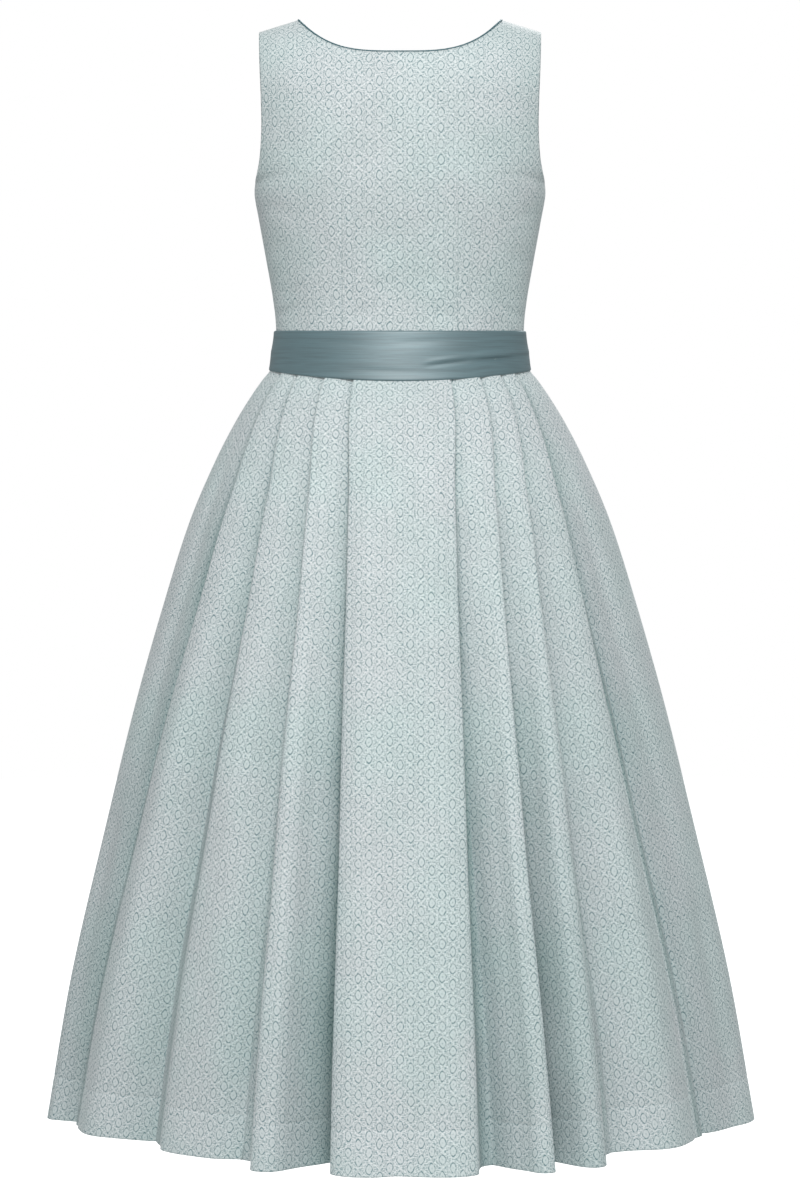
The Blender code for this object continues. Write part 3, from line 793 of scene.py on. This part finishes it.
def skirt_rows():
    """Heights of the skirt's rows, and how far inside the outer layer each lies."""
    heights = [WAIST_SEAM - SEAM_GAP / 2]
    stitch = HEM + HEM_TURN
    while heights[-1] > HEM + LAST_EVEN_ROW:
        heights.append(heights[-1] - smooth_value(heights[-1], *zip(*ROW_SPACING)))
    heights = [h for h in heights if abs(h - stitch) > STITCH_ROOM and h > HEM + EDGE_ROOM]
    heights += [stitch + step for step in STITCH_ROWS] + [HEM + rise for rise in EDGE_ROWS]
    outside = [(height, 0.0) for height in sorted(heights, reverse=True)]
    return outside + [(HEM + rise, share * HEM_INSIDE) for rise, share in TURNED_ROWS]


def outward_normals(line, inwards):
    """The sideways direction of each point, away from the middle of the dress."""
    normals = []
    for i in range(len(line)):
        step = run_at(line, i)
        normals.append(Vector((step.y, -step.x)).normalized() * inwards)
    return normals


def drape_depth(drape, place_at, way, height):
    """How far a drape pushes a point inwards, from its way along the row."""
    if not drape.bottom <= height <= drape.top:
        return 0.0
    share = (drape.top - height) / (drape.top - drape.bottom)
    fade_in = eased(share / DRAPE_FADES[0])
    fade_out = 1.0 if drape.bottom <= HEM else eased((1 - share) / DRAPE_FADES[1])
    centre = place_at(mix(drape.start, drape.end, share))
    width = drape.width * mix(*DRAPE_WIDTHS, share)
    return drape.depth * fade_in * fade_out * exp(-(((way - centre) / width) ** 2))


def skirt_line(face, side, level, places):
    """One quarter's rounded row, with its drapes."""
    line = rounded(skirt_quarter(face, side, level), LINE_STEPS)
    ways = along(line)

    def place_at(place):
        after = next((i for i, stop in enumerate(places) if stop >= place), len(places) - 1)
        before = max(after - 1, 0)
        span = places[after] - places[before]
        return mix(ways[before], ways[after], (place - places[before]) / span if span else 0.0)

    normals = outward_normals(line, face * side)
    moved = []
    for point, normal, way in zip(line, normals, ways):
        depth = sum(drape_depth(drape, place_at, way, level.height) for drape in DRAPES[face, side])
        moved.append(point + normal * depth)
    return moved


def skirt_panel(name, face, sides):
    """A pleated panel over one or both quarters of a face."""
    quarter, heights = quarter_places(), skirt_rows()
    points = []
    for height, inside in heights:
        level = SkirtLevel(height, *(level_value(SKIRT, field, height) for field in SkirtLevel._fields[1:]))
        line = []
        for side in sides:
            part = skirt_line(face, side, level, quarter)
            line = part[:0:-1] if side == LEFT and len(sides) == 2 else line + part
        inwards = outward_normals(line, 1)
        if sum(normal.dot(point) for normal, point in zip(inwards, line)) > 0:
            inwards = [-normal for normal in inwards]
        from_stitch = (height - HEM - HEM_TURN) / HEM_STITCH[1]
        depth = inside or HEM_STITCH[0] * exp(-(from_stitch**2))
        row = []
        for point, normal in zip(line, inwards):
            x, y = short_of_seams(face, sides, *(point + normal * depth))
            row.append((x, y, height - waist_dip(x / level.half_width, height)))
        points.append(row)
    points.reverse()
    places = over_sides(quarter, sides)
    column_at = {round(place, 6): column for column, place in enumerate(places)}
    ways = [along(row) for row in points]
    hem_row = sum(1 for _, inside in heights if inside)

    def panel_of(column):
        """The number of a face's panel, counted from the middle, and its side."""
        middle = (places[column] + places[min(column + 1, len(places) - 1)]) / 2
        return int(max(abs(middle) - VALLEY_PLACE, -1) + 1), copysign(1, middle)

    # For each panel: the column that its grain follows, the way up along it, and how far it slopes
    grain = {}
    for number, centre in enumerate(CENTRE_PLACES):
        for sign in (-1, 1):
            column = min(range(len(places)), key=lambda c: abs(places[c] - sign * centre))
            if abs(places[column] - sign * centre) > NEAR_CENTRE:
                continue
            line = [row[column] for row in points]
            rise = along(line)
            slopes = [
                run_at(line, r).normalized().dot(run_at(row, column).normalized())
                for r, row in enumerate(points)
            ]
            grain[number, sign] = column, [way - rise[hem_row] for way in rise], slopes

    def cloth_uv(face_column, row, column):
        number, sign = panel_of(face_column)
        centre, rise, slopes = grain[min(number, len(CENTRE_PLACES) - 1), sign]
        distance = ways[row][column] - ways[row][centre]
        slope = slopes[row]
        return distance * sqrt(1 - slope * slope), rise[row] + distance * slope

    def shade_at(row, column):
        """Painted shade: under a fold's edge the cloth is painted dark, and lighter away from the edge."""
        place = abs(places[column])
        fold = int(place)
        if not 1 <= fold <= FOLDS or place - fold < UNDER_EDGE:
            return 0.0
        sign = 1 if places[column] > 0 else -1
        edge, crest = (
            Vector(points[row][column_at[round(sign * (fold + part), 6)]][:2]) for part in (0.0, CREST_PLACE)
        )
        beyond = max((Vector(points[row][column][:2]) - edge).dot((crest - edge).normalized()), 0.0)
        height = points[row][column][2]
        grown = clamp((WAIST_SEAM - height) / (WAIST_SEAM - HEM))
        reach = mix(*SHADE_REACH, grown**REACH_GROWTH) * (1 + SHADE_SPREAD * (fold - 1) * (1 - grown))
        share, length = UNEVEN_SHADE
        uneven = 1 + share * noise.noise((fold * FOLD_SEED, sign * face * SIDE_SEED, height / length))
        begun = clamp((SHADE_START[0] - height) / SHADE_START[1])
        near, wide = (exp(-((beyond / size) ** 2)) for size in (reach, reach * WIDE_REACH))
        fading = mix(near, wide, WIDE_SHARE * sqrt(grown))
        return begun * mix(*SHADE_STRENGTH, grown) * uneven * fading

    return cloth_sheet(name, points, cloth_uv, shade_at, SKIRT_CLOTH, (face_cloth, reverse_cloth))


# ---- bodice


def shoulder_height(x):
    return NECK_POINT + (NECK_HALF_WIDTH - abs(x)) * SHOULDER_FALL


def top_height(face, x):
    if abs(x) >= NECK_HALF_WIDTH:
        return shoulder_height(x)
    low, power = NECKLINES[face]
    return mix(low, NECK_POINT, (abs(x) / NECK_HALF_WIDTH) ** power)


def torso_power(height):
    return 2 / mix(*FLATNESS, clamp((height - SASH_TOP) / (UNDERARM - SASH_TOP)))


def shoulder_share(x, height):
    rounding = mix(*SHOULDER_ROUNDING, clamp(abs(x) / TORSO[-1].half_width))
    fall = clamp((shoulder_height(x) - height) / rounding)
    return sqrt(1 - (1 - fall) ** 2)


def bodice_row(rise):
    """What a row of the bodice needs: its arm angle, power and reach."""
    side_height = mix(WAIST_SEAM + SEAM_GAP, SHOULDER_TIP, rise)
    arm_angle = radians(level_value(TORSO, "arm_angle", side_height))
    power = torso_power(side_height)
    return arm_angle, power, level_value(TORSO, "half_width", side_height) / sin(arm_angle) ** power


def bodice_point(face, sideways, rise):
    """A point of the bodice, and its depth before the shoulder is rounded over."""
    arm_angle, power, reach = bodice_row(rise)
    angle = sideways * arm_angle
    x = copysign(abs(sin(angle)) ** power, sideways) * reach
    height = mix(WAIST_SEAM + SEAM_GAP, top_height(face, x), rise)
    depth = level_value(TORSO, DEPTHS[face], height)
    plain = depth * max(cos(angle), 0.0) ** power
    return Vector((x, face * (plain * shoulder_share(x, height) + SEAM_GAP / 2), height)), plain


@lru_cache(maxsize=None)
def section_ways(face, height):
    """The way round a level section of the bodice to each of a quarter's evenly spaced angles."""
    power = torso_power(height)
    arm_angle = radians(level_value(TORSO, "arm_angle", height))
    reach = level_value(TORSO, "half_width", height) / sin(arm_angle) ** power
    depth = level_value(TORSO, DEPTHS[face], height)
    angles = [pi / 2 * i / SECTION_STEPS for i in range(SECTION_STEPS + 1)]
    ways = along([(sin(a) ** power * reach, max(cos(a), 0.0) ** power * depth) for a in angles])
    return reach, depth, power, ways


def way_round(face, x, plain, height):
    """The way round the bodice from the middle of a face to a point, at the point's height. plain
    is the point's depth before the shoulder is rounded over."""
    low = floor(height / SECTION_SPACING) * SECTION_SPACING
    found = []
    for level in (low, low + SECTION_SPACING):
        reach, depth, power, ways = section_ways(face, level)
        angle = atan2((abs(x) / reach) ** (1 / power), (plain / depth) ** (1 / power))
        place = angle / (pi / 2) * SECTION_STEPS
        before = min(int(place), SECTION_STEPS - 1)
        found.append(mix(ways[before], ways[before + 1], place - before))
    return copysign(mix(*found, (height - low) / SECTION_SPACING), x)


def over_shoulder(x, height, depth):
    """The extra length of cloth that the rounding of the shoulder takes below a point."""
    rounding = mix(*SHOULDER_ROUNDING, clamp(abs(x) / TORSO[-1].half_width))
    turn = asin(1 - clamp((shoulder_height(x) - height) / rounding))
    steps = [turn * (i + 0.5) / ROUNDING_STEPS for i in range(ROUNDING_STEPS)]
    way = sum(hypot(depth * sin(a), rounding * cos(a)) for a in steps) * turn / ROUNDING_STEPS
    return way - rounding * sin(turn)


def sideways_at(x, rise):
    """Where a column at this x lies on a row, from 0 in the middle to 1 at its end."""
    arm_angle, power, reach = bodice_row(rise)
    return asin((x / reach) ** (1 / power)) / arm_angle


def crease_depth(crease, x, z):
    """How far a crease pushes a point in, by its distance from the crease's line."""
    run = Vector((crease.x2 - crease.x1, crease.z2 - crease.z1))
    from_start = Vector((x - crease.x1, z - crease.z1))
    share = from_start.dot(run) / run.length_squared
    if not 0 < share < 1:
        return 0.0
    away = abs(run.x * from_start.y - run.y * from_start.x) / run.length
    if away > CREASE_EXTENT * crease.width:
        return 0.0
    tapered = sin(pi * share**CREASE_SKEW) ** CREASE_TAPER
    return crease.depth * tapered * exp(-((away / crease.width) ** 2))


def half_columns(face, rise):
    """Places of one half's columns on a row, from the middle to the side, the dart's among them."""
    dart = DARTS[face].x
    inner = [dart - step for step in reversed(DART_COLUMNS[1:])]
    inner_count = ceil(inner[0] / COLUMN_STEP)
    outer = [dart + step for step in DART_COLUMNS]
    outer_count = ceil((TORSO[-1].half_width - outer[-1]) / COLUMN_STEP * OUTER_DENSITY)
    places = [sideways_at(mix(0.0, inner[0], i / inner_count), rise) for i in range(inner_count)]
    places += [sideways_at(x, rise) for x in inner + outer]
    last = places[-1]
    return places + [mix(last, 1.0, (i + 1) / outer_count) for i in range(outer_count)]


def bodice_panel(name, face, sides):
    """A fitted panel over one or both halves of a face, with creases and its darts' grooves."""
    dart = DARTS[face]
    count = ceil((SHOULDER_TIP - WAIST_SEAM) / ROW_STEP)
    points, flats = [], []
    for r in range(count + 1):
        row, flat_row = [], []
        for place in over_sides(half_columns(face, r / count), sides):
            point, depth = bodice_point(face, place, r / count)
            row.append(point)
            up = point.z - WAIST_SEAM + over_shoulder(point.x, point.z, depth)
            flat_row.append((way_round(face, point.x, depth, point.z), up + BODICE_SHIFT))
        points.append(row)
        flats.append(flat_row)
    columns = list(zip(*points))
    creased = []
    for r, row in enumerate(points):
        moved = []
        for c, point in enumerate(row):
            normal = run_at(row, c).cross(run_at(columns[c], r)).normalized()
            if normal.y * face < 0 or (abs(normal.y) < EDGE_ON and normal.x * point.x < 0):
                normal = -normal
            depth = sum(crease_depth(crease, point.x, point.z) for crease in CREASES[face])
            stitched = clamp((dart.tip - point.z) / DART_START)
            groove = DART_GROOVE[0] * exp(-(((abs(point.x) - dart.x) / DART_GROOVE[1]) ** 2)) * stitched
            place = point - normal * (depth + groove)
            x, y = short_of_seams(face, sides, place.x, place.y - face * SEAM_GAP / 2)
            moved.append((x, y, place.z))
        creased.append(moved)

    def cloth_uv(face_column, row, column):
        across, up = flats[row][column]
        first, second = (points[row][c].x for c in (face_column, face_column + 1))
        let_out = clamp((dart.tip - points[row][column].z) / (dart.tip - WAIST_SEAM))
        taken_in = dart.intake * let_out if abs(first) + abs(second) > 2 * dart.x else 0.0
        return across + copysign(taken_in, first + second), up

    # Painted shade along each dart's stitching, in place of the shadow in its groove
    def shade_at(row, column):
        point = points[row][column]
        on_dart = abs(abs(point.x) - dart.x) < ON_DART and point.z < dart.tip
        return DART_SHADE if on_dart else 0.0

    return cloth_sheet(name, creased, cloth_uv, shade_at, BODICE_CLOTH, (face_cloth, reverse_cloth))


def neckline_point(face, x):
    """The point of the neckline above this x, in the middle of the wall's thickness."""
    point, _ = bodice_point(face, copysign(sideways_at(abs(x), 1.0), x), 1.0)
    return Vector((x, face * max(face * point.y - BODICE_CLOTH / 2, PIPING_RADIUS + SEAM_GAP / 2), point.z))


def piping(name, face, sides):
    """A round cord of satin along a panel's neckline, standing on its edge."""
    end = NECK_HALF_WIDTH - PIPING_RADIUS
    first = -end if LEFT in sides else SEAM_GAP / 2
    last = end if RIGHT in sides else -SEAM_GAP / 2
    steps = NECK_STEPS * len(sides) // 2
    curve = bpy.data.curves.new(name, "CURVE")
    curve.dimensions = "3D"
    curve.bevel_depth = CORD_RADIUS * MM
    curve.bevel_resolution = 3
    curve.use_fill_caps = True
    spline = curve.splines.new("POLY")
    spline.points.add(steps)
    for i, point in enumerate(spline.points):
        x = mix(first, last, i / steps)
        run = neckline_point(face, x + SEAM_GAP) - neckline_point(face, x - SEAM_GAP)
        upwards = Vector((-run.z, 0, run.x)).normalized()
        place = neckline_point(face, x) + upwards * PIPING_RISE
        point.co = (*place * MM, 1)
        point.radius = mix(1.0, PIPING_ENDS, clamp(abs(x) / NECK_HALF_WIDTH) ** PIPING_END_POWER)
    spline.use_smooth = True
    curve.materials.append(cord_satin)
    return add_object(name + "_cord", curve)


# ---- sash


def sash_point(turn, share, clear):
    dip = 1 - sin(turn) ** 2
    height = mix(SASH_TOP, SASH_BOTTOM - WAIST_DIP * dip, share)
    face = BACK if cos(turn) > 0 else FRONT
    table, ring_height = TORSO, height
    if height < WAIST_SEAM:
        table, ring_height = SKIRT, min(height + waist_dip(sin(turn), height), WAIST_SEAM)
    width = level_value(table, "half_width", ring_height)
    depth = level_value(table, DEPTHS[face], ring_height)
    return sin(turn) * (width + clear), -cos(turn) * (depth + clear), height


def sash():
    """A satin band once round the waist, whose end laps over its start at the middle of the front."""
    lap = SASH_LAP / 2 / TORSO[0].half_width
    turns = [mix(-pi - lap, pi + lap, i / SASH_COLUMNS) for i in range(SASH_COLUMNS + 1)]
    rise_start, rise_end = LAP_RISE
    points = []
    for r in range(SASH_ROWS + 1):
        share = r / SASH_ROWS
        row = []
        for turn in turns:
            risen = eased(((turn - pi) / lap + rise_start) / (rise_start - rise_end))
            edge = min(share, 1 - share) / SASH_EDGE_ROLL
            rolled = sqrt(1 - (1 - clamp(edge)) ** 2)
            round_scale, down_scale, seed = SWELL_NOISE
            swell = 0.5 + 0.5 * noise.noise((turn * round_scale, share * down_scale, seed))
            tucked = SASH_TUCK * clamp((share - SASH_TUCK_START) / (1 - SASH_TUCK_START)) ** 2
            clear = SASH_CLEARANCE + SASH_INSET - tucked + rolled * (SASH_WALL - 2 * SASH_INSET)
            clear += SASH_SWELL * swell * rolled
            clear += risen * (SASH_WALL + LAP_CLEARANCE)
            x, _, z = sash_point(turn, share, clear)
            seen_x, kept = (x, 1.0) if cos(turn) > 0 else (-x, FRONT_CREASES)
            clear -= sum(crease_depth(crease, seen_x, z) * kept for crease in SASH_CREASES)
            row.append(sash_point(turn, share, clear))
        points.append(row)
    ways = [along(row) for row in points]
    rises = [along([row[c] for row in points]) for c in range(len(turns))]

    def cloth_uv(face_column, row, column):
        return ways[row][column], rises[column][row]

    return cloth_sheet("sash", points, cloth_uv, lambda row, column: 0.0, SASH_CLOTH, (sash_cloth,))


# ---- the dress

face_cloth = jacquard("Cotton jacquard")
reverse_cloth = jacquard("Cotton jacquard reverse", is_reverse=True)
sash_cloth = slub_satin()
cord_satin = piping_satin()

# The panels of the bodice, the skirt and the piping: name, face and the halves that each covers
PANELS = (("back", BACK, (LEFT, RIGHT)), ("front_left", FRONT, (LEFT,)), ("front_right", FRONT, (RIGHT,)))
bodice = [bodice_panel("bodice_" + name, face, sides) for name, face, sides in PANELS]
skirt = [skirt_panel("skirt_" + name, face, sides) for name, face, sides in PANELS]
waist_sash = sash()
pipings = [piping("neck_piping_" + name, face, sides) for name, face, sides in PANELS]

# Each piece rides with the dress and stands for the solid it is named after, which is hidden.
for pieces, slot in ((bodice + skirt, "cloth"), ([waist_sash], "sash"), (pipings, "piping")):
    for piece in pieces:
        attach(piece, "root")
        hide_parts(piece.name.rsplit("_", 1)[0])

# How each bodice sheet is cut, flat: width and length in metres, then area in square metres.
BODICE_CUTS = (((0.434, 0.401), 0.131), ((0.231, 0.393), 0.067), ((0.231, 0.393), 0.067))
back, *fronts = bodice
for piece, sewn_to, trim, (flat, area) in zip(bodice, (fronts, [back], [back]), pipings, BODICE_CUTS):
    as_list(sewn_to)

# ---- studio

STUDIO_WHITE = "#FFFFFF"
AROUND, AROUND_GLOW = "#F8F9FA", 0.49  # the pale surroundings as they light the dress
FLOOR_PAPER = "#A9ADAD"
FLOOR_SHOWN, FLOOR_GLOW = 0.92, 0.06  # the paper's own glow: what only the camera sees, and the rest
FLOOR_HEIGHT, FLOOR_RADIUS = -1.7, 8.0
# Each light's power in watts, its size and place, and what it points at
LIGHTS = {
    "Key light": (125.0, 1.8, (0.15, -3.7, 2.8), (0.0, 0.0, -0.3)),
    "Front light": (35.0, 2.6, (-0.3, -4.9, 0.2), (0.0, 0.0, -0.2)),
    "Fill light": (120.0, 2.6, (0.8, 4.6, 2.4), (0.0, 0.0, -0.5)),
}
# The photo's camera, fitted to the curve of the hem and of the sash
CAMERA_PLACE = (0.0, -4.5, -0.335)
CAMERA_TILT = 3.7621  # degrees down from level
CAMERA_LENS = 122.46


def studio():
    """Soft light from above the camera and beside it, a weaker one from behind, and white all round."""
    for name, (energy, size, place, target) in LIGHTS.items():
        data = bpy.data.lights.new(name, "AREA")
        data.energy = energy
        data.shape = "DISK"
        data.size = size
        lamp = add_object(name, data)
        lamp.location = place
        lamp.rotation_euler = (Vector(target) - Vector(place)).to_track_quat("-Z", "Y").to_euler()
    world = bpy.data.worlds.new("Studio")
    bpy.context.scene.world = world
    world.use_nodes = True
    tree = world.node_tree
    shown = node(tree, "Background", {"Color": linear(STUDIO_WHITE), "Strength": 1.0})
    light = node(tree, "Background", {"Color": linear(AROUND), "Strength": AROUND_GLOW})
    is_camera = node(tree, "LightPath")
    both = node(tree, "MixShader", {0: is_camera, 1: light, 2: shown})
    tree.links.new(both, tree.nodes["World Output"].inputs["Surface"])

    paper, tree, shader = new_material("White paper")
    shader.inputs["Base Color"].default_value = linear(FLOOR_PAPER)
    shader.inputs["Roughness"].default_value = 0.9
    shader.inputs["Emission Color"].default_value = linear(STUDIO_WHITE)
    is_camera = node(tree, "LightPath")
    glow_inputs = {0: is_camera, 1: FLOOR_SHOWN, 2: FLOOR_GLOW}
    glow = node(tree, "Math", glow_inputs, operation="MULTIPLY_ADD")
    tree.links.new(glow, shader.inputs["Emission Strength"])
    body = bmesh.new()
    bmesh.ops.create_circle(body, cap_ends=True, segments=96, radius=FLOOR_RADIUS)
    bmesh.ops.translate(body, verts=body.verts, vec=(0.0, 0.0, FLOOR_HEIGHT))
    add_mesh("Studio_floor", body, [paper])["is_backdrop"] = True


def camera():
    data = bpy.data.cameras.new("Camera")
    data.lens = CAMERA_LENS
    data.sensor_width = 36.0
    data.clip_end = 60.0
    made = add_object("Camera", data)
    made.location = CAMERA_PLACE
    made.rotation_euler = (radians(90 - CAMERA_TILT), 0.0, 0.0)
    bpy.context.scene.camera = made


studio()
camera()
bpy.context.scene.view_settings.view_transform = "Standard"

boxes = {"cad": cad_box, "visual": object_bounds()}
{name: [list(corner) for corner in box] for name, box in boxes.items()}
